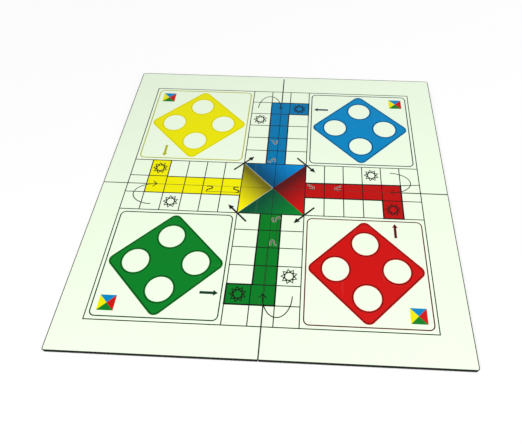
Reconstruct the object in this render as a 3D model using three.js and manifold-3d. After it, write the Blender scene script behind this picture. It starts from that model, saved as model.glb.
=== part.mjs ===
// A square board for a race game that folds twice into a quarter of its size.
// Four rigid panels lie edge to edge. Two cloth hinges under the printed sheets let the front panels fold
// over the back ones, print against print, and a third under the backing sheets lets the left half fold
// beneath the right half. Between the two front panels is an open cut.
// Millimetres, +Z up. The origin is the middle of the open board's underside. The front is at -Y.
import * as THREE from "three";
import { mergeVertices } from "three/addons/utils/BufferGeometryUtils.js";
import Module from "manifold-3d";

const wasm = await Module();
wasm.setup();

// Driving dimensions
const boardSide = 304.8;
const coreThickness = 2.8;
const printSheetThickness = 0.2;
const backingSheetThickness = 0.2;
const edgeBandThickness = 0.6;
const coreCornerRadius = 1.1;
const seamGap = 0.9;
const clothThickness = 0.2;
const clothLeafWidth = 10;
const clothEndSetback = 2;
const cornerSegments = 6;
const cutterOverrun = 1;

// Levels and edges that follow from them
const coreBottom = backingSheetThickness;
const coreTop = coreBottom + coreThickness;
const boardTop = coreTop + printSheetThickness;
const seamEdge = seamGap / 2;
const outerEdge = boardSide / 2;
const bandInside = outerEdge - edgeBandThickness;
const leafInnerEnd = seamEdge + clothEndSetback;
const leafOuterEnd = bandInside - clothEndSetback;
const leafEdge = seamEdge + clothLeafWidth;
const printLeafBottom = coreTop - clothThickness;
const backLeafTop = coreBottom + clothThickness;

const materials = {
  core: new THREE.MeshStandardMaterial({ color: 0x2a221c, roughness: 0.8, metalness: 0 }),
  print: new THREE.MeshStandardMaterial({ color: 0xe7f4de, roughness: 0.3, metalness: 0 }),
  backing: new THREE.MeshStandardMaterial({ color: 0x292b2e, roughness: 0.6, metalness: 0 }),
  band: new THREE.MeshStandardMaterial({ color: 0x0a0a0a, roughness: 0.65, metalness: 0 }),
  cloth: new THREE.MeshStandardMaterial({ color: 0x393931, roughness: 0.9, metalness: 0 }),
};

// The four quarters: which way each lies from the centre, and the leaves let into it
const quarters = [
  { place: "back_left", x: -1, y: 1, leaves: ["left_hinge_leaf_back", "centre_hinge_leaf_left"] },
  { place: "back_right", x: 1, y: 1, leaves: ["right_hinge_leaf_back", "centre_hinge_leaf_right"] },
  { place: "front_right", x: 1, y: -1, leaves: ["right_hinge_leaf_front"] },
  { place: "front_left", x: -1, y: -1, leaves: ["left_hinge_leaf_front"] },
];

// Points of an outline drawn in the back right quarter, turned over into the quarter asked for
function shapeIn(quarter, points) {
  return new THREE.Shape(points.map((p) => new THREE.Vector2(quarter.x * p.x, quarter.y * p.y)));
}

// The outer corner as a quarter circle: of the core, or of what goes round it at a thickness outside
function roundedCorner(outside) {
  const centre = bandInside - coreCornerRadius;
  const radius = coreCornerRadius + outside;
  return Array.from({ length: cornerSegments + 1 }, (_, i) => {
    const angle = (i / cornerSegments) * (Math.PI / 2);
    return new THREE.Vector2(centre + radius * Math.cos(angle), centre + radius * Math.sin(angle));
  });
}

// A panel inside its band: square at the seams, rounded at the outer corner
function panelOutline() {
  return [
    new THREE.Vector2(seamEdge, seamEdge),
    new THREE.Vector2(bandInside, seamEdge),
    ...roundedCorner(0),
    new THREE.Vector2(seamEdge, bandInside),
  ];
}

// The band: one strip from seam to seam round the outer corner
function bandOutline() {
  return [
    new THREE.Vector2(outerEdge, seamEdge),
    ...roundedCorner(edgeBandThickness),
    new THREE.Vector2(seamEdge, outerEdge),
    new THREE.Vector2(seamEdge, bandInside),
    ...roundedCorner(0).reverse(),
    new THREE.Vector2(bandInside, seamEdge),
  ];
}

function rectangle(lowX, lowY, highX, highY) {
  return [
    new THREE.Vector2(lowX, lowY),
    new THREE.Vector2(highX, lowY),
    new THREE.Vector2(highX, highY),
    new THREE.Vector2(lowX, highY),
  ];
}

// A flat layer between two heights
function slab(shape, low, high) {
  const geometry = new THREE.ExtrudeGeometry(shape, { depth: 1, bevelEnabled: false });
  const position = geometry.getAttribute("position");
  for (let i = 0; i < position.count; i++) {
    position.setZ(i, position.getZ(i) > 0.5 ? high : low);
  }
  return geometry;
}

function toSolid(geometry) {
  const bare = geometry.clone();
  bare.deleteAttribute("normal");
  bare.deleteAttribute("uv");
  const merged = mergeVertices(bare);
  return new wasm.Manifold(
    new wasm.Mesh({
      numProp: 3,
      vertProperties: merged.getAttribute("position").array,
      triVerts: new Uint32Array(merged.index.array),
    }),
  );
}

function toGeometry(solid) {
  const mesh = solid.getMesh();
  const geometry = new THREE.BufferGeometry();
  geometry.setAttribute("position", new THREE.BufferAttribute(mesh.vertProperties, 3));
  geometry.setIndex(new THREE.BufferAttribute(mesh.triVerts, 1));
  geometry.computeVertexNormals();
  return geometry;
}

// A leaf under the printed sheet, along the seam between front and back
function printSideLeaf(quarter, overrun = 0) {
  const plan = rectangle(leafInnerEnd, seamEdge - overrun, leafOuterEnd, leafEdge);
  return slab(shapeIn(quarter, plan), printLeafBottom, coreTop + overrun);
}

// A leaf under the backing sheet, along the seam between left and right
function backSideLeaf(quarter, overrun = 0) {
  const plan = rectangle(seamEdge - overrun, leafInnerEnd, leafEdge, leafOuterEnd);
  return slab(shapeIn(quarter, plan), coreBottom - overrun, backLeafTop);
}

// The first leaf of every quarter is on the print side, and a second one is on the back
const leafMakers = [printSideLeaf, backSideLeaf];

// The rigid core, with a rebate for each leaf
function coreGeometry(quarter) {
  let solid = toSolid(slab(shapeIn(quarter, panelOutline()), coreBottom, coreTop));
  quarter.leaves.forEach((_, i) => {
    solid = solid.subtract(toSolid(leafMakers[i](quarter, cutterOverrun)));
  });
  return toGeometry(solid);
}

function named(name, geometry, material) {
  const mesh = new THREE.Mesh(geometry, material);
  mesh.name = name;
  return mesh;
}

function panel(quarter) {
  const group = new THREE.Group();
  const sheet = shapeIn(quarter, panelOutline());
  group.name = `panel_${quarter.place}`;
  group.add(
    named(`core_${quarter.place}`, coreGeometry(quarter), materials.core),
    named(`print_sheet_${quarter.place}`, slab(sheet, coreTop, boardTop), materials.print),
    named(`backing_sheet_${quarter.place}`, slab(sheet, 0, coreBottom), materials.backing),
    named(
      `edge_band_${quarter.place}`,
      slab(shapeIn(quarter, bandOutline()), 0, boardTop),
      materials.band,
    ),
    ...quarter.leaves.map((name, i) => named(name, leafMakers[i](quarter), materials.cloth)),
  );
  return group;
}

const board = new THREE.Group();
board.name = "folding_game_board";
board.add(...quarters.map(panel));

export default board;
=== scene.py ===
import math

import bmesh
import bpy
from mathutils import Matrix, Vector
from mathutils.geometry import convex_hull_2d, delaunay_2d_cdt


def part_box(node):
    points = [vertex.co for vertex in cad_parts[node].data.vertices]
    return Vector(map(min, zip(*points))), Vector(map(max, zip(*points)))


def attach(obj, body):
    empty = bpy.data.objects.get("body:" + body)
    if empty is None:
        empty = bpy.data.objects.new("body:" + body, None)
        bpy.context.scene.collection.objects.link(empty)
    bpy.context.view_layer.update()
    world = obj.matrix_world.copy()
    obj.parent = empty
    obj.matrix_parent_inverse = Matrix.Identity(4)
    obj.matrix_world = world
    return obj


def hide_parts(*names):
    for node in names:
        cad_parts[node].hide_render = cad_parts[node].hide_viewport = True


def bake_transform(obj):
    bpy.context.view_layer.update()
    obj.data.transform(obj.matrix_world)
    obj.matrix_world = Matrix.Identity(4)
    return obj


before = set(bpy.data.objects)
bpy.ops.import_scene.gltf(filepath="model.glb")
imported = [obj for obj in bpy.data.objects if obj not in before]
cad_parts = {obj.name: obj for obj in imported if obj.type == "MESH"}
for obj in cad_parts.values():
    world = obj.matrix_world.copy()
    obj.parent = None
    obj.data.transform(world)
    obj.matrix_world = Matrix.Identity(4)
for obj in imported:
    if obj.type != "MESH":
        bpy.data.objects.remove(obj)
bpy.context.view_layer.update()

MM = 0.001
QUARTER_TURN = math.pi / 2
PLACES = ("back_left", "back_right", "front_right", "front_left")
# The arms in turn, each a quarter turn from the last, with the colour of its lane and of the yard beside it
ARMS = ("red", "blue", "yellow", "green")

# The print: its middle on the board, how much it is stretched from left to right and from front to back, and
# its main sizes, drawn from its own middle
PRINT_MIDDLE = (-0.9, 0.0)
PRINT_STRETCH = (1.005, 0.995)
GRID_HALF = 128.8
HOME_HALF = 28.3
CELLS = 6
LANE = 2 * HOME_HALF / 3
CELL = (GRID_HALF - HOME_HALF) / CELLS
YARD_MIDDLE = (GRID_HALF + HOME_HALF) / 2
YARD_HALF = (GRID_HALF - HOME_HALF) / 2

# A yard: its inner outline, its diamond with four places, its small mark and its arrow
OUTLINE_INSET = 3.0
OUTLINE_RADIUS = 4.1
DIAMOND_REACH = 45.1
DIAMOND_RADIUS = 5.7
PLACE_RADIUS = 10.42
PLACE_DISTANCE = 23.9
DIAMOND_LINE_INSET = 1.0
MARK_SIDE = 12.5
MARK_INSET = 13.6
START_ARROW_GAP = 5.4
START_ARROW_LENGTH = 14.0
START_ARROW = {"shaft": 2.2, "head_length": 3.6, "head_width": 4.8}

# The sides of the coloured lane and of the arm, in lanes from the arm's middle. The starting cell lies to the
# right of the lane, between these two counts of cells from the arm's outer end.
LANE_SIDE = 0.5
ARM_SIDE = 1.5
START_CELL = (1, 2)
START_MIDDLE = sum(START_CELL) / 2
# How far the long sides of each lane lie inside the grid: its left and its right one, looking outwards, and each
# at the outer end and at the home
LANE_INSETS = {
    "red": ((1.3, 2.3), (0.2, 0.2)),
    "blue": ((0.3, 0.95), (0.55, 0.55)),
    "yellow": ((0.0, 0.0), (0.35, 0.35)),
    "green": ((0.05, 0.05), (0.65, 0.95)),
}

# An arm's marks: two stars, an arc with a barbed line on it, and a thin track with a hook at each end. Pairs are
# cells from the arm's outer end and lanes from its middle.
STARS = ((START_MIDDLE, -1.0), (2.5, 1.0))
STAR_RAYS = 9
STAR_TURN = 20.0
STAR_REACH = 6.9
STAR_VALLEY = 4.6
STAR_EYE = 2.95
RAY_HOLLOW = {"base": 3.95, "tip": 5.8, "half_width": 0.8}
TURN_CELL = 1.5
TURN_LANES = 1.18
TURN_DEPTH = 1.045
TURN_TIP = 1.56
TURN_BARB = (0.21, 0.16)
FIRST_HOOK = ((4.12, 0.03), (4.34, 0.02), (4.44, 0.10), (4.33, 0.18), (4.21, 0.21), (4.14, 0.31))
TRACK = ((4.15, 0.337), (5.78, 0.337))
SECOND_HOOK = (
    (5.70, 0.337), (5.80, 0.33), (5.84, 0.27), (5.77, 0.21), (5.62, 0.17),
    (5.54, 0.11), (5.59, 0.04), (5.68, 0.02), (5.80, 0.03),
)
HOOK_SHIFTS = {"red": (0.0, 0.0), "blue": (0.05, 0.0), "yellow": (0.09, 0.0), "green": (0.0, 0.09)}
CORNER_ARROW_LENGTH = 24.0
CORNER_ARROW = {"shaft": 1.6, "head_length": 5.2, "head_width": 4.8}

# Widths of the printed lines
GRID_LINE = 0.8
LANE_LINES = {"red": 1.3, "blue": 1.2, "yellow": 0.95, "green": 1.3}
HOME_LINE = 1.0
OUTLINE_LINE = 0.95
DIAMOND_LINE = 0.75
MARK_LINE = 0.8
BARB_LINES = {"red": 0.5, "blue": 0.5, "yellow": 0.8, "green": 0.8}
PATH_LINES = {"red": 0.25, "blue": 0.2, "yellow": 0.45, "green": 0.3}
# The arms whose hooks are edged in pale ink. A hook alone is one line, and an edged one a core over a halo.
HALOED = ("red", "blue", "green")
HOOK_LINE = 1.1
HOOK_CORE = 0.8
HOOK_HALO = 1.2
# The arms whose home triangle has a pale line on its left, which makes one on each side of the yellow one
RIDGES = ("blue", "yellow")
RIDGE_LINE = 0.25

# The parts that curves are cut into, the decimals of a point, and the distance at which two points are one
CIRCLE_STEPS = 48
EYE_STEPS = 24
CORNER_STEPS = 8
TURN_STEPS = 32
HOOK_STEPS = 6
DECIMALS = 3
CLOSE = 1e-4
# A line's corner reaches at most half its width divided by this, however sharp the bend
BEND_LIMIT = 0.3

# Heights of the inks over the sheet, how deep each is let in, and how far it laps over the sheet's cut edge
INK_LEVELS = {
    "field": 0.02, "lane": 0.02, "home": 0.02, "edge": 0.025,
    "tint": 0.025, "path": 0.025, "light": 0.03, "line": 0.035,
}
INK_DEPTH = 0.19
INK_LAP = 0.25

# Colours of the print, as screen values from 0 to 255
PAPER = (231, 244, 222)
# The colour of the sheet's cut edges, and of the shade painted beside the seams
CUT_EDGE_AND_SEAM_SHADE = (64, 65, 57)
FIELD_COLOURS = {
    "yellow": (231, 225, 0),
    "blue": (0, 129, 189),
    "red": (197, 14, 12),
    "green": (0, 121, 34),
}
TINT_COLOURS = {
    "yellow": (172, 174, 14),
    "blue": (8, 44, 66),
    "red": (84, 10, 16),
    "green": (6, 50, 34),
}
# For each home triangle: its colour in the board's middle, its bright one, and the corner it brightens to
HOME_COLOURS = {
    "yellow": ((110, 103, 18), (246, 236, 0), (-1, -1)),
    "blue": ((0, 74, 116), (0, 134, 208), (1, 1)),
    "red": ((86, 12, 14), (203, 14, 14), (1, -1)),
    "green": ((0, 74, 50), (0, 125, 42), (1, -1)),
}
# Where it begins and ends to brighten, from the print's middle
HOME_SHADE = (4.0, 34.0)
# How light each colour is in the lanes, and in the lines along the edges of the diamonds
LANE_SHARES = {"yellow": 1.05, "blue": 0.8, "red": 0.84, "green": 0.93}
EDGE_SHARES = {"yellow": 0.75, "blue": 0.12, "red": 0.15, "green": 0.15}
# The inks that are the same on every arm: the colour's name, its screen values, and how mottled it is
COMMON_INKS = {
    "path": ("brown", (30, 26, 18), 0.05),
    "line": ("black", (12, 12, 11), 0.1),
    "light": ("pale", (226, 222, 204), 0.05),
}
INK_MOTTLE = 0.05
PAPER_MOTTLE = 0.03
MOTTLE_IN_BLUE = 1.4

# Painted shade on the paper along the seams: how wide it is and how dark. Then how upright a face is where it
# shows the cut edge's colour
SEAM_SHADE_WIDTH = 0.22
SEAM_SHADE_SHARE = 0.9
UPRIGHT_SPAN = (0.8, 0.4)

# The surfaces. A pattern gives the size of its features, its detail and, if any, its stretch. A span is where
# a pattern goes from one look to the other. A share is how much of a look is mixed in. Reliefs are depths.
PATTERN_ROUGHNESS = 0.55
MIDDLE_SPAN = (0.3, 0.7)
SCRATCHES = (
    ((2.4, 1.0, (1.0, 0.04, 1.0)), (0.70, 0.74)),
    ((2.8, 1.0, (0.05, 1.0, 1.0)), (0.71, 0.75)),
)
LAMINATE = {
    "shine": 0.1,
    "clouds": (22.0, 3.0),
    "grain": (0.5, 1.0),
    "grain_share": 0.35,
    "scratch_light": (0.8, 0.8, 0.78, 1.0),
    "scratch_share": 0.015,
    "scratch_roughness": 0.12,
    "smudges": (35.0, 3.0),
    "roughness": (0.24, 0.31),
    "waves": (90.0, 1.0),
    "wave_relief": 0.22,
    "peel": (1.6, 1.0),
    "peel_relief": 0.006,
}
FIBREBOARD = {
    "shine": 0.3,
    "fibres": (0.9, 4.0, (1.0, 1.0, 4.0)),
    "fibre_span": (0.35, 0.7),
    "colours": ((22, 18, 15), (74, 60, 47)),
    "stains": (12.0, 2.0),
    "stain_span": (0.4, 0.75),
    "stain_colour": (30, 25, 21),
    "roughness": (0.75, 0.92),
    "relief": 0.08,
}
BACKING = {
    "shine": 0.45,
    "pebble": 0.9,
    "fine": (0.35, 2.0),
    "fine_share": 0.35,
    "grain_span": (0.2, 0.9),
    "colours": ((30, 32, 35), (52, 54, 58)),
    "clouds": (30.0, 3.0),
    "cloud_span": (0.4, 0.75),
    "cloud_share": 0.35,
    "cloud_colour": (64, 64, 66),
    "scratch_share": 0.3,
    "scratch_colour": (104, 104, 102),
    "smudges": (25.0, 3.0),
    "roughness": (0.5, 0.66),
    "relief": 0.05,
}
TAPE = {
    "shine": 0.05,
    "fine": (0.6, 3.0),
    "fine_span": (0.35, 0.7),
    "colours": ((4, 4, 4), (14, 14, 13)),
    "rim": 0.35,
    "wear": (6.0, 4.0),
    "wear_span": (0.42, 0.62),
    "wear_range": (0.25, 1.0),
    "wear_share": 0.08,
    "wear_colour": (110, 114, 102),
    "roughness": (0.6, 0.72),
    "ripples": (2.2, 2.0, (1.0, 1.0, 0.4)),
    "relief": 0.03,
}
CLOTH = {
    "shine": 0.2,
    "thread": 0.45,
    "colours": ((44, 44, 37), (68, 68, 59)),
    "wear": (8.0, 3.0),
    "wear_span": (0.35, 0.7),
    "wear_share": 0.5,
    "wear_colour": (90, 90, 78),
    "roughness": (0.92, 0.82),
    "relief": 0.04,
}

# Each hinge cloth: its place, the panels it joins and the axis of its length. Then the parts that its free
# width and its length are cut into.
HINGES = (
    ("left", ("back_left", "front_left"), 0),
    ("right", ("back_right", "front_right"), 0),
    ("centre", ("back_right", "back_left"), 1),
)
FREE_STEPS = 12
LENGTH_STEPS = 24

# How much the edges of each layer of a panel are softened, and the least angle of an edge that is
SOFTENING = {"core": 0.0, "print_sheet": 0.06, "backing_sheet": 0.06, "edge_band": 0.08}
SOFT_SEGMENTS = 2
SOFT_ANGLE = 40.0

# The stage: floor, surroundings and lamps. The floor's glow rises from one distance to the other.
WHITE = (1.0, 1.0, 1.0, 1.0)
FLOOR_HALF = 30.0
FLOOR_PARTS = 8
FLOOR_COLOUR = (0.92, 0.92, 0.92, 1.0)
FLOOR_DISTANCES = (0.25, 0.9)
FLOOR_GLOW = (0.85, 1.0)
FLOOR_SHADE_REACH = 0.05
WORLD_LIGHT = 0.22
LAMPS = {
    "key": {"size": (0.4, 0.6), "place": (-0.42, -0.63, 0.60), "power": 4.75},
    "fill": {"size": (0.5, 0.6), "place": (0.56, -0.12, 1.15), "power": 11.5},
}

# The camera: its place in millimetres, its angles, and its focus and middle in pixels of the frame's width
CAMERA_PLACE = (30.05, -248.45, 313.73)
CAMERA_ANGLES = {"turn": 2.722, "tilt": 34.492, "roll": 0.019}
CAMERA_FOCUS = 450.15
CAMERA_MIDDLE = 294.59
FRAME_WIDTH = 522
SENSOR = 36.0
NEAREST_SEEN = 0.01


# Plane geometry in millimetres

def area(loop):
    return sum(a[0] * b[1] - b[0] * a[1] for a, b in zip(loop, loop[1:] + loop[:1])) / 2


def rectangle(low, high):
    return [(low[0], low[1]), (high[0], low[1]), (high[0], high[1]), (low[0], high[1])]


def polar(centre, radius, angle):
    return centre[0] + radius * math.cos(angle), centre[1] + radius * math.sin(angle)


def circle(centre, radius, steps=CIRCLE_STEPS):
    return [polar(centre, radius, math.radians(360 * i / steps)) for i in range(steps)]


def rounded(loop, radius):
    """A convex loop, listed anticlockwise, with its corners rounded."""
    made = []
    for i, corner in enumerate(loop):
        corner = Vector(corner)
        back = (Vector(loop[i - 1]) - corner).normalized()
        ahead = (Vector(loop[(i + 1) % len(loop)]) - corner).normalized()
        half = back.angle(ahead) / 2
        centre = corner + (back + ahead).normalized() * (radius / math.sin(half))
        first = corner + back * (radius / math.tan(half)) - centre
        turn = math.pi - 2 * half
        for k in range(CORNER_STEPS + 1):
            made.append(tuple(centre + Matrix.Rotation(turn * k / CORNER_STEPS, 2) @ first))
    return made


def stroke(line, width, closed=False):
    """A line of even width, as one convex piece for each of its sections."""
    left, right = [], []
    count = len(line)
    for i, point in enumerate(line):
        before = Vector(line[i - 1]) if closed or i else None
        after = Vector(line[(i + 1) % count]) if closed or i < count - 1 else None
        point = Vector(point)
        back = (point - before).normalized() if before else (after - point).normalized()
        ahead = (after - point).normalized() if after else back
        middle = (back + ahead).normalized()
        reach = width / 2 / max(BEND_LIMIT, middle.dot(ahead))
        side = Vector((-middle.y, middle.x)) * reach
        left.append(point + side)
        right.append(point - side)
    pieces = []
    for i in range(count if closed else count - 1):
        after = (i + 1) % count
        ends = [left[i], right[i], right[after], left[after]]
        pieces.append(plain([tuple(ends[k]) for k in convex_hull_2d(ends)]))
    return pieces


def smooth(points):
    """A smooth line through the points."""
    made = []
    ends = [points[0], *points, points[-1]]
    for a, b, c, d in zip(ends, ends[1:], ends[2:], ends[3:]):
        a, b, c, d = map(Vector, (a, b, c, d))
        slope = c - a
        bend = 2 * a - 5 * b + 4 * c - d
        twist = 3 * b - a - 3 * c + d
        for k in range(HOOK_STEPS):
            t = k / HOOK_STEPS
            curve = 2 * b + slope * t + bend * t * t + twist * t ** 3
            made.append(tuple(curve / 2))
    return made + [tuple(points[-1])]


def arrow(tail, tip, shaft, head_length, head_width):
    tail, tip = Vector(tail), Vector(tip)
    along = (tip - tail).normalized()
    side = Vector((-along.y, along.x))
    neck = tip - along * head_length
    right = [tail - side * shaft / 2, neck - side * shaft / 2, neck - side * head_width / 2]
    left = [neck + side * head_width / 2, neck + side * shaft / 2, tail + side * shaft / 2]
    return [tuple(p) for p in (*right, tip, *left)]


def plain(loop):
    """A shape is an outline with its holes, and here it has none."""
    return loop, []


def turned(shape, quarters):
    """A shape turned by quarter turns about the print's middle and put where the print lies."""
    turn = Matrix.Diagonal(PRINT_STRETCH) @ Matrix.Rotation(quarters * QUARTER_TURN, 2)

    def place(loop):
        return [tuple(round(c, DECIMALS) for c in turn @ Vector(p) + Vector(PRINT_MIDDLE)) for p in loop]

    return place(shape[0]), [place(hole) for hole in shape[1]]


# What is printed: every function gives shapes for the arm that points along +X, by ink

def at(cells, lanes=0.0):
    """A place on the arm, counted in cells from its outer end and in lanes from its middle."""
    return GRID_HALF - cells * CELL, lanes * LANE


def star(centre, quarters):
    """A ring of hollow rays round a clear middle, the same way up on every arm."""
    pitch = 2 * math.pi / STAR_RAYS
    first = math.radians(STAR_TURN) - quarters * QUARTER_TURN
    half = math.atan(RAY_HOLLOW["half_width"] / RAY_HOLLOW["base"])
    rim, holes = [], [circle(centre, STAR_EYE, EYE_STEPS)]
    for i in range(STAR_RAYS):
        middle = first + i * pitch
        rim += [polar(centre, STAR_REACH, middle), polar(centre, STAR_VALLEY, middle + pitch / 2)]
        base = [polar(centre, RAY_HOLLOW["base"], middle + side * half) for side in (-1, 1)]
        holes.append([base[0], polar(centre, RAY_HOLLOW["tip"], middle), base[1]])
    return rim, holes


def lane_outline(colour):
    """The coloured lane with its starting cell, from the home round to the home."""
    (left_out, left_home), (right_out, right_home) = LANE_INSETS[colour]
    begin, end = START_CELL
    left = [at(CELLS, LANE_SIDE - left_home / LANE), at(begin, LANE_SIDE - left_out / LANE)]
    right = [at(end, right_out / LANE - LANE_SIDE), at(CELLS, right_home / LANE - LANE_SIDE)]
    return [*left, at(begin, -ARM_SIDE), at(end, -ARM_SIDE), *right]


def arm_lines(colour):
    """The grid with the lane's edge, the yard's outer sides and the home's side."""
    outline = lane_outline(colour)
    lines = stroke(outline, LANE_LINES[colour]) + stroke([at(0, LANE_SIDE), outline[1]], GRID_LINE)
    for lane, cell in ((-ARM_SIDE, CELLS), (-LANE_SIDE, START_CELL[1]), (ARM_SIDE, CELLS)):
        lines += stroke([at(0, lane), at(cell, lane)], GRID_LINE)
    for cell in range(CELLS + 1):
        lines += stroke([at(cell, -ARM_SIDE), at(cell, ARM_SIDE)], GRID_LINE)
    lines += stroke([at(0, -ARM_SIDE), (GRID_HALF, -GRID_HALF), (HOME_HALF, -GRID_HALF)], GRID_LINE)
    for side in (-1, 1):
        lines += stroke([at(CELLS, side * LANE_SIDE), at(CELLS, side * ARM_SIDE)], HOME_LINE)
    return lines


def arm_marks(colour, quarters):
    """The stars, the arc with its barbed arrow and the corner's arrow."""
    marks = [star(at(*place), quarters) for place in STARS]
    half = TURN_LANES / 2
    angles = [math.radians(180 * i / TURN_STEPS) for i in range(TURN_STEPS + 1)]
    arc = [at(TURN_CELL - TURN_DEPTH * math.sin(a), half + half * math.cos(a)) for a in angles]
    marks += stroke(arc, MARK_LINE)
    barbs = [at(TURN_TIP - TURN_BARB[0], side * TURN_BARB[1]) for side in (-1, 1)]
    marks += stroke([barbs[0], at(TURN_TIP), barbs[1]], BARB_LINES[colour])
    marks += stroke([at(TURN_CELL), at(TURN_TIP)], BARB_LINES[colour])
    along = Vector((1, -1)).normalized() * CORNER_ARROW_LENGTH / 2
    corner = Vector((HOME_HALF, HOME_HALF))
    marks.append(plain(arrow(corner - along, corner + along, **CORNER_ARROW)))
    return marks


def arm_hooks(colour, width):
    cells, lanes = HOOK_SHIFTS[colour]
    hooks = [smooth([at(x + cells, y + lanes) for x, y in hook]) for hook in (FIRST_HOOK, SECOND_HOOK)]
    return [piece for hook in hooks for piece in stroke(hook, width)]


def arm_path(colour):
    width = PATH_LINES[colour]
    return stroke([at(TURN_TIP), at(FIRST_HOOK[0][0])], width) + stroke([at(*p) for p in TRACK], width)


def diamond(inset=0.0):
    """The diamond with its four places, or a line that runs inside its edges at an inset."""
    reach = DIAMOND_REACH + DIAMOND_RADIUS * (math.sqrt(2) - 1) - inset * math.sqrt(2)
    x, y = YARD_MIDDLE, -YARD_MIDDLE

    def four(distance):
        return [(x + distance, y), (x, y + distance), (x - distance, y), (x, y - distance)]

    places = [circle(centre, PLACE_RADIUS + inset) for centre in four(PLACE_DISTANCE)]
    return rounded(four(reach), DIAMOND_RADIUS - inset), places


def diamond_edges():
    outline, places = diamond(DIAMOND_LINE_INSET)
    return [piece for loop in (outline, *places) for piece in stroke(loop, DIAMOND_LINE, closed=True)]


def yard_tints():
    """The yard's inner outline, and the arrow beside the starting cell."""
    half = YARD_HALF - OUTLINE_INSET
    low = (YARD_MIDDLE - half, -YARD_MIDDLE - half)
    high = (YARD_MIDDLE + half, -YARD_MIDDLE + half)
    outline = stroke(rounded(rectangle(low, high), OUTLINE_RADIUS), OUTLINE_LINE, closed=True)
    x = at(START_MIDDLE)[0]
    tip = -HOME_HALF - START_ARROW_GAP
    return [*outline, plain(arrow((x, tip - START_ARROW_LENGTH), (x, tip), **START_ARROW))]


def small_mark(quarters):
    """The small square in the outer corner of a yard, as four triangles, each with its arm's colour."""
    corner = (GRID_HALF - MARK_INSET, -GRID_HALF + MARK_INSET)
    middle = Matrix.Rotation(quarters * QUARTER_TURN, 2) @ Vector(corner)
    half = MARK_SIDE / 2
    for i, colour in enumerate(ARMS):
        turn = Matrix.Rotation(i * QUARTER_TURN, 2)
        loop = [middle, middle + turn @ Vector((half, -half)), middle + turn @ Vector((half, half))]
        yield colour, plain([tuple(p) for p in loop])


def printed():
    """All the shapes by ink."""
    inks = {}

    def put(ink, shapes, quarters):
        inks.setdefault(ink, []).extend(turned(s, quarters) for s in shapes)

    for quarters, colour in enumerate(ARMS):
        home = [(0, 0), (HOME_HALF, -HOME_HALF), (HOME_HALF, HOME_HALF)]
        haloed = colour in HALOED
        put(("field", colour), [diamond()], quarters)
        put(("lane", colour), [plain(lane_outline(colour))], quarters)
        put(("home", colour), [plain(home)], quarters)
        put(("edge", colour), diamond_edges(), quarters)
        put(("tint", colour), yard_tints(), quarters)
        put(("path", "brown"), arm_path(colour), quarters)
        put(("line", "black"), [*arm_lines(colour), *arm_marks(colour, quarters)], quarters)
        put(("line", "black"), arm_hooks(colour, HOOK_CORE if haloed else HOOK_LINE), quarters)
        if haloed:
            put(("light", "pale"), arm_hooks(colour, HOOK_HALO), quarters)
        if colour in RIDGES:
            put(("light", "pale"), stroke([home[0], home[2]], RIDGE_LINE), quarters)
        for mark_colour, shape in small_mark(quarters):
            put(("field", mark_colour), [shape], 0)
    return inks


# Meshes of the inks

def window(place):
    """The low and the high corner of a panel's ink, which laps a little over its sheet's cut edges."""
    low, high = (Vector(corner[:2]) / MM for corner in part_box(f"print_sheet_{place}"))
    lap = Vector((INK_LAP, INK_LAP))
    return low - lap, high + lap


def inside(point, loop):
    """Whether a loop goes round a point."""
    within = False
    for a, b in zip(loop, loop[1:] + loop[:1]):
        if (a[1] > point.y) != (b[1] > point.y):
            crossing = a[0] + (b[0] - a[0]) * (point.y - a[1]) / (b[1] - a[1])
            within ^= crossing > point.x
    return within


def covered(point, shapes):
    """Whether any of the shapes covers a point."""
    for outline, holes in shapes:
        if inside(point, outline) and not any(inside(point, hole) for hole in holes):
            return True
    return False


def meets(outline, low, high):
    xs, ys = zip(*outline)
    return min(xs) < high.x and max(xs) > low.x and min(ys) < high.y and max(ys) > low.y


def union_within(shapes, low, high):
    """The union of the shapes inside a rectangle: its points, and its triangles by point."""
    shapes = [shape for shape in shapes if meets(shape[0], low, high)]
    if not shapes:
        return [], []
    loops = [rectangle(low, high)]
    for outline, holes in shapes:
        loops += [outline, *holes]
    points, faces = [], []
    for loop in loops:
        faces.append(list(range(len(points), len(points) + len(loop))))
        points += [Vector(p) for p in (loop if area(loop) > 0 else loop[::-1])]
    corners, _, triangles, *_ = delaunay_2d_cdt(points, [], faces, 0, CLOSE)
    kept = []
    for triangle in triangles:
        middle = sum((corners[i] for i in triangle), Vector((0, 0))) / 3
        if low.x < middle.x < high.x and low.y < middle.y < high.y and covered(middle, shapes):
            kept.append(triangle)
    return corners, kept


def linked(name, data):
    """A new object in the scene."""
    made = bpy.data.objects.new(name, data)
    bpy.context.scene.collection.objects.link(made)
    return made


def meshed(name, bm):
    """A new object in the scene from a mesh that is then let go."""
    mesh = bpy.data.meshes.new(name)
    bm.to_mesh(mesh)
    bm.free()
    return linked(name, mesh)


def slab(name, corners, triangles, low, high):
    """A closed slab over flat triangles in millimetres."""
    bm = bmesh.new()
    used = sorted({i for triangle in triangles for i in triangle})
    below, above = (
        {i: bm.verts.new((corners[i].x * MM, corners[i].y * MM, level * MM)) for i in used}
        for level in (low, high)
    )
    edges = {(t[k - 1], t[k]) for t in triangles for k in range(3)}
    for t in triangles:
        bm.faces.new([above[i] for i in t])
        bm.faces.new([below[i] for i in reversed(t)])
    for a, b in sorted(edges):
        if (b, a) not in edges:
            bm.faces.new((below[a], below[b], above[b], above[a]))
    return meshed(name, bm)


def print_board(materials):
    sheet_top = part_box("print_sheet_back_right")[1].z / MM
    for (kind, colour), shapes in printed().items():
        for place in PLACES:
            corners, triangles = union_within(shapes, *window(place))
            if not triangles:
                continue
            top = sheet_top + INK_LEVELS[kind]
            made = slab(f"{kind}_{colour}_{place}", corners, triangles, sheet_top - INK_DEPTH, top)
            made.data.materials.append(materials[kind, colour])
            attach(made, f"panel_{place}")


# Materials

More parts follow.
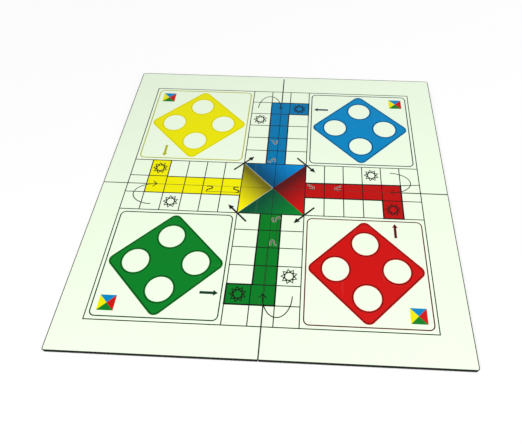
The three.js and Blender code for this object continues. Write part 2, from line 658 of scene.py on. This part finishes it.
def linear(colour):
    """Screen values from 0 to 255 as the light they stand for."""
    return tuple(c / 255 / 12.92 if c <= 10 else ((c / 255 + 0.055) / 1.055) ** 2.4 for c in colour) + (1.0,)


def deeper(colour, share):
    return tuple(c * share for c in colour[:3]) + (1.0,)


def add(tree, kind, inputs=None, **settings):
    """A new node, with a socket linked or a value set at each of its inputs."""
    made = tree.nodes.new(kind)
    for key, value in settings.items():
        setattr(made, key, value)
    for socket, value in (inputs or {}).items():
        if isinstance(value, bpy.types.NodeSocket):
            tree.links.new(value, made.inputs[socket])
        else:
            made.inputs[socket].default_value = value
    return made


def surface(name, shine, look):
    """A new material: its even shine is set on the shader's own socket, and what varies is linked to it."""
    material = bpy.data.materials.new(name)
    material.use_nodes = True
    tree = material.node_tree
    shader = tree.nodes["Principled BSDF"]
    shader.inputs["Specular IOR Level"].default_value = shine
    for socket, value in look(tree).items():
        tree.links.new(value, shader.inputs[socket])
    return material


def place_in(tree):
    return add(tree, "ShaderNodeTexCoord").outputs["Object"]


def parts_of(tree, vector):
    return add(tree, "ShaderNodeSeparateXYZ", {"Vector": vector}).outputs


def pattern(tree, size, detail, stretch=(1.0, 1.0, 1.0)):
    """Uneven noise from 0 to 1, whose features are of a size in millimetres."""
    where = add(tree, "ShaderNodeMapping", {"Vector": place_in(tree), "Scale": stretch}).outputs[0]
    settings = {"Vector": where, "Scale": 1 / (size * MM), "Detail": detail, "Roughness": PATTERN_ROUGHNESS}
    return add(tree, "ShaderNodeTexNoise", settings).outputs["Fac"]


def spread(tree, value, low, high, to_low=0.0, to_high=1.0):
    settings = {"Value": value, "From Min": low, "From Max": high, "To Min": to_low, "To Max": to_high}
    return add(tree, "ShaderNodeMapRange", settings).outputs["Result"]


def mixed(tree, factor, first, second, blend="MIX"):
    inputs = {0: factor, 6: first, 7: second}
    return add(tree, "ShaderNodeMix", inputs, data_type="RGBA", blend_type=blend).outputs[2]


def between(tree, factor, colours):
    return mixed(tree, factor, *map(linear, colours))


def maths(tree, operation, first, second=0.0):
    return add(tree, "ShaderNodeMath", {0: first, 1: second}, operation=operation).outputs[0]


def vector_maths(tree, operation, result, *vectors):
    made = add(tree, "ShaderNodeVectorMath", dict(enumerate(vectors)), operation=operation)
    return made.outputs[result]


def raised(tree, height, depth, **under):
    """A bump of a depth in millimetres."""
    settings = {"Height": height, "Distance": depth * MM, "Strength": 1.0, **under}
    return add(tree, "ShaderNodeBump", settings).outputs["Normal"]


def scuffs(tree):
    """Fine scratches in two directions, from 0 to 1."""
    scratches = (spread(tree, pattern(tree, *lines), *span) for lines, span in SCRATCHES)
    return maths(tree, "MAXIMUM", *scratches)


def cut_edge(tree):
    """One on faces that stand upright, and none on those that lie flat."""
    upward = parts_of(tree, add(tree, "ShaderNodeTexCoord").outputs["Normal"])["Z"]
    return spread(tree, maths(tree, "ABSOLUTE", upward), *UPRIGHT_SPAN)


def painted_seam_shade(tree):
    """One along the seams, where shade is painted on the paper, falling to none a little way off. The left hinge
    gets none.
    """
    parts = parts_of(tree, place_in(tree))
    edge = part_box("print_sheet_back_right")[0].x
    beside = [
        spread(tree, maths(tree, "ABSOLUTE", parts[axis]), edge + SEAM_SHADE_WIDTH * MM, edge)
        for axis in "XY"
    ]
    on_right = maths(tree, "MULTIPLY", beside[1], maths(tree, "GREATER_THAN", parts["X"], 0.0))
    return maths(tree, "MAXIMUM", beside[0], on_right)


def ground(tree):
    """The paper's own colour, dark on its cut edges, with painted shade beside the seams."""
    # Painted shade: the paper darkens towards the cut edge's colour beside the seams
    overlay_share = maths(tree, "MULTIPLY", painted_seam_shade(tree), SEAM_SHADE_SHARE)
    return between(tree, maths(tree, "MAXIMUM", cut_edge(tree), overlay_share), (PAPER, CUT_EDGE_AND_SEAM_SHADE))


def home_shade(colour):
    """The colour of a home triangle, which brightens from the middle of the board to a corner."""
    dark, bright, corner = HOME_COLOURS[colour]
    corner = Vector((*corner, 0)).normalized() / MM
    middle = Vector((*PRINT_MIDDLE, 0)) * MM

    def socket(tree):
        from_middle = vector_maths(tree, "SUBTRACT", "Vector", place_in(tree), middle)
        along = vector_maths(tree, "DOT_PRODUCT", "Value", from_middle, corner)
        return between(tree, spread(tree, along, *HOME_SHADE), (dark, bright))

    return socket


def laminated(name, colour, mottle):
    """Print under a glossy laminate. The colour is four values, or a function that makes its socket."""

    def look(tree):
        base = colour(tree) if callable(colour) else colour
        shade = (1 - mottle, 1 - mottle, 1 - mottle * MOTTLE_IN_BLUE, 1.0)
        darker = mixed(tree, 1.0, base, shade, "MULTIPLY")
        cloudy = mixed(tree, pattern(tree, *LAMINATE["clouds"]), darker, base)
        grain = spread(tree, pattern(tree, *LAMINATE["grain"]), *MIDDLE_SPAN, 0.0, LAMINATE["grain_share"])
        grained = mixed(tree, grain, cloudy, darker)
        scratch = scuffs(tree)
        paled = maths(tree, "MULTIPLY", scratch, LAMINATE["scratch_share"])
        dulled = maths(tree, "MULTIPLY", scratch, LAMINATE["scratch_roughness"])
        smudges = pattern(tree, *LAMINATE["smudges"])
        smudged = spread(tree, smudges, *MIDDLE_SPAN, *LAMINATE["roughness"])
        waves = raised(tree, pattern(tree, *LAMINATE["waves"]), LAMINATE["wave_relief"])
        return {
            "Base Color": mixed(tree, paled, grained, LAMINATE["scratch_light"]),
            "Roughness": maths(tree, "ADD", smudged, dulled),
            "Normal": raised(tree, pattern(tree, *LAMINATE["peel"]), LAMINATE["peel_relief"], Normal=waves),
        }

    return surface(name, LAMINATE["shine"], look)


def print_materials():
    """The material of every ink, by the kind of shape and the name of its colour."""
    made = {}
    for name, screen in FIELD_COLOURS.items():
        field = linear(screen)
        made["field", name] = laminated(f"print_{name}", field, INK_MOTTLE)
        made["lane", name] = laminated(f"lane_{name}", deeper(field, LANE_SHARES[name]), INK_MOTTLE)
        made["edge", name] = laminated(f"edge_{name}", deeper(field, EDGE_SHARES[name]), INK_MOTTLE)
        made["tint", name] = laminated(f"tint_{name}", linear(TINT_COLOURS[name]), INK_MOTTLE)
        made["home", name] = laminated(f"home_{name}", home_shade(name), INK_MOTTLE)
    for kind, (name, screen, mottle) in COMMON_INKS.items():
        made[kind, name] = laminated(f"print_{name}", linear(screen), mottle)
    return made


def fibreboard(tree):
    """Thin fibreboard with stained edges."""
    fibres = pattern(tree, *FIBREBOARD["fibres"])
    colour = between(tree, spread(tree, fibres, *FIBREBOARD["fibre_span"]), FIBREBOARD["colours"])
    stains = spread(tree, pattern(tree, *FIBREBOARD["stains"]), *FIBREBOARD["stain_span"])
    return {
        "Base Color": mixed(tree, stains, colour, linear(FIBREBOARD["stain_colour"])),
        "Roughness": spread(tree, fibres, *MIDDLE_SPAN, *FIBREBOARD["roughness"]),
        "Normal": raised(tree, fibres, FIBREBOARD["relief"]),
    }


def backing_paper(tree):
    """Dark covering paper embossed with a fine pebble grain."""
    cells = {"Vector": place_in(tree), "Scale": 1 / (BACKING["pebble"] * MM)}
    pebbles = add(tree, "ShaderNodeTexVoronoi", cells, feature="SMOOTH_F1").outputs["Distance"]
    fine = maths(tree, "MULTIPLY", pattern(tree, *BACKING["fine"]), BACKING["fine_share"])
    grain = maths(tree, "ADD", pebbles, fine)
    colour = between(tree, spread(tree, grain, *BACKING["grain_span"]), BACKING["colours"])
    clouds = pattern(tree, *BACKING["clouds"])
    clouds = spread(tree, clouds, *BACKING["cloud_span"], 0.0, BACKING["cloud_share"])
    cloudy = mixed(tree, clouds, colour, linear(BACKING["cloud_colour"]))
    scratches = maths(tree, "MULTIPLY", scuffs(tree), BACKING["scratch_share"])
    return {
        "Base Color": mixed(tree, scratches, cloudy, linear(BACKING["scratch_colour"])),
        "Roughness": spread(tree, pattern(tree, *BACKING["smudges"]), *MIDDLE_SPAN, *BACKING["roughness"]),
        "Normal": raised(tree, grain, BACKING["relief"]),
    }


def edge_tape(tree):
    """Black edge tape, rubbed at its corners."""
    fine = pattern(tree, *TAPE["fine"])
    colour = between(tree, spread(tree, fine, *TAPE["fine_span"]), TAPE["colours"])
    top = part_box("edge_band_back_right")[1].z
    rim = spread(tree, parts_of(tree, place_in(tree))["Z"], top - TAPE["rim"] * MM, top)
    patches = spread(tree, pattern(tree, *TAPE["wear"]), *TAPE["wear_span"], *TAPE["wear_range"])
    overlay_share = maths(tree, "MULTIPLY", maths(tree, "MULTIPLY", rim, patches), TAPE["wear_share"])
    return {
        "Base Color": mixed(tree, overlay_share, colour, linear(TAPE["wear_colour"])),
        "Roughness": spread(tree, fine, *MIDDLE_SPAN, *TAPE["roughness"]),
        "Normal": raised(tree, pattern(tree, *TAPE["ripples"]), TAPE["relief"]),
    }


def book_cloth(tree):
    """Plain woven book cloth."""
    parts = parts_of(tree, place_in(tree))
    pace = 2 * math.pi / (CLOTH["thread"] * MM)
    threads = [maths(tree, "SINE", maths(tree, "MULTIPLY", parts[axis], pace)) for axis in "XY"]
    weave = spread(tree, maths(tree, "MULTIPLY", *threads), -1.0, 1.0)
    colour = between(tree, weave, CLOTH["colours"])
    overlay_share = spread(tree, pattern(tree, *CLOTH["wear"]), *CLOTH["wear_span"], 0.0, CLOTH["wear_share"])
    return {
        "Base Color": mixed(tree, overlay_share, colour, linear(CLOTH["wear_colour"])),
        "Roughness": spread(tree, weave, 0.0, 1.0, *CLOTH["roughness"]),
        "Normal": raised(tree, weave, CLOTH["relief"]),
    }


# The hinge cloths: each one strip glued to two panels and free across the gap between them

def cloth_strip(name, leaves, along):
    """A strip over two leaves, cut finely across the gap between them. Along is the axis of its length."""
    boxes = [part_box(leaf) for leaf in leaves]
    low = Vector([min(b[0][i] for b in boxes) for i in range(3)])
    high = Vector([max(b[1][i] for b in boxes) for i in range(3)])
    across = 1 - along
    gap = min(abs(v[across]) for b in boxes for v in b)
    free = [-gap + 2 * gap * i / FREE_STEPS for i in range(FREE_STEPS + 1)]
    rows = [low[across], *free, high[across]]
    length = high[along] - low[along]
    columns = [low[along] + length * i / LENGTH_STEPS for i in range(LENGTH_STEPS + 1)]
    corners = [Vector((v, u) if along else (u, v)) / MM for v in rows for u in columns]
    count = len(columns)
    triangles = []
    for row in range(len(rows) - 1):
        for column in range(count - 1):
            a = row * count + column
            quad = (a, a + 1, a + count + 1, a + count)
            if along:
                quad = quad[::-1]
            triangles += [(quad[0], quad[1], quad[2]), (quad[0], quad[2], quad[3])]
    made = slab(name, corners, triangles, low.z / MM, high.z / MM)
    size = high - low
    return made, (size[across], size[along]), gap, (low + high) / 2


def hinge_cloths():
    material = surface("book_cloth", CLOTH["shine"], book_cloth)
    for side, joined, along in HINGES:
        leaves = [f"{side}_hinge_leaf_{place.split('_')[along]}" for place in joined]
        made, flat, gap, middle = cloth_strip(f"{side}_hinge_cloth", leaves, along)
        made.data.materials.append(material)
        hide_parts(*leaves)
        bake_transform(made)


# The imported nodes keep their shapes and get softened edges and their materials

def dress(node, material, softening):
    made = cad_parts[node]
    made.data.materials.clear()
    made.data.materials.append(material)
    if softening:
        bevel = made.modifiers.new("softened edges", "BEVEL")
        bevel.width = softening * MM
        bevel.segments = SOFT_SEGMENTS
        bevel.limit_method = "ANGLE"
        bevel.angle_limit = math.radians(SOFT_ANGLE)


def dress_nodes():
    layers = {
        "core": surface("fibreboard", FIBREBOARD["shine"], fibreboard),
        "print_sheet": laminated("print_ground", ground, PAPER_MOTTLE),
        "backing_sheet": surface("backing_paper", BACKING["shine"], backing_paper),
        "edge_band": surface("edge_tape", TAPE["shine"], edge_tape),
    }
    for place in PLACES:
        for layer, material in layers.items():
            dress(f"{layer}_{place}", material, SOFTENING[layer])


# The stage: floor, lamps, surroundings and camera

def bare_tree(owner):
    """The empty node tree of a material or a world."""
    owner.use_nodes = True
    owner.node_tree.nodes.clear()
    return owner.node_tree


def seen_as_background(tree):
    """One for the rays that show the surroundings: to the camera, in a gloss or through a clear piece."""
    rays = add(tree, "ShaderNodeLightPath").outputs
    shown = maths(tree, "MAXIMUM", rays["Is Camera Ray"], rays["Is Glossy Ray"])
    return maths(tree, "MAXIMUM", shown, rays["Is Transmission Ray"])


def floor_material():
    """Pale and matt in the light of the lamps, and seen as white except in the shade beside the board."""
    material = bpy.data.materials.new("floor")
    tree = bare_tree(material)
    matt = add(tree, "ShaderNodeBsdfDiffuse", {"Color": FLOOR_COLOUR}).outputs[0]
    white = add(tree, "ShaderNodeEmission", {"Color": WHITE, "Strength": 1.0}).outputs[0]
    open_air = add(tree, "ShaderNodeAmbientOcclusion", {"Distance": FLOOR_SHADE_REACH}).outputs["AO"]
    away = vector_maths(tree, "LENGTH", "Value", place_in(tree))
    level = spread(tree, away, *FLOOR_DISTANCES, *FLOOR_GLOW)
    glow = maths(tree, "MULTIPLY", maths(tree, "MULTIPLY", open_air, open_air), level)
    factor = maths(tree, "MULTIPLY", glow, seen_as_background(tree))
    mix = add(tree, "ShaderNodeMixShader", {0: factor, 1: matt, 2: white}).outputs[0]
    add(tree, "ShaderNodeOutputMaterial", {"Surface": mix})
    return material


def floor():
    bm = bmesh.new()
    bmesh.ops.create_grid(bm, x_segments=FLOOR_PARTS, y_segments=FLOOR_PARTS, size=FLOOR_HALF)
    made = meshed("floor", bm)
    made.data.materials.append(floor_material())


def surroundings():
    """A weak even light on the board, which is white where it is seen."""
    world = bpy.data.worlds.new("surroundings")
    bpy.context.scene.world = world
    tree = bare_tree(world)
    strength = spread(tree, seen_as_background(tree), 0.0, 1.0, WORLD_LIGHT, 1.0)
    background = add(tree, "ShaderNodeBackground", {"Color": WHITE, "Strength": strength}).outputs[0]
    add(tree, "ShaderNodeOutputWorld", {"Surface": background})


def lamps():
    """Each lamp looks at the middle of the board."""
    for name, row in LAMPS.items():
        lamp = bpy.data.lights.new(name, "AREA")
        lamp.shape = "RECTANGLE"
        lamp.size, lamp.size_y = row["size"]
        lamp.energy = row["power"]
        made = linked(name, lamp)
        made.location = row["place"]
        made.rotation_euler = (-made.location).to_track_quat("-Z", "Y").to_euler()


def camera():
    lens = bpy.data.cameras.new("camera")
    lens.sensor_fit = "HORIZONTAL"
    lens.sensor_width = SENSOR
    lens.lens = CAMERA_FOCUS / FRAME_WIDTH * SENSOR
    lens.shift_x = (FRAME_WIDTH / 2 - CAMERA_MIDDLE) / FRAME_WIDTH
    lens.clip_start = NEAREST_SEEN
    made = linked("camera", lens)
    turn, tilt, roll = (math.radians(CAMERA_ANGLES[k]) for k in ("turn", "tilt", "roll"))
    aim = Matrix.Rotation(turn, 4, "Z") @ Matrix.Rotation(tilt, 4, "X") @ Matrix.Rotation(roll, 4, "Z")
    made.matrix_world = Matrix.Translation(Vector(CAMERA_PLACE) * MM) @ aim
    bpy.context.scene.camera = made


bpy.context.scene.view_settings.view_transform = "Standard"
camera()
surroundings()
lamps()
floor()
dress_nodes()
print_board(print_materials())
hinge_cloths()
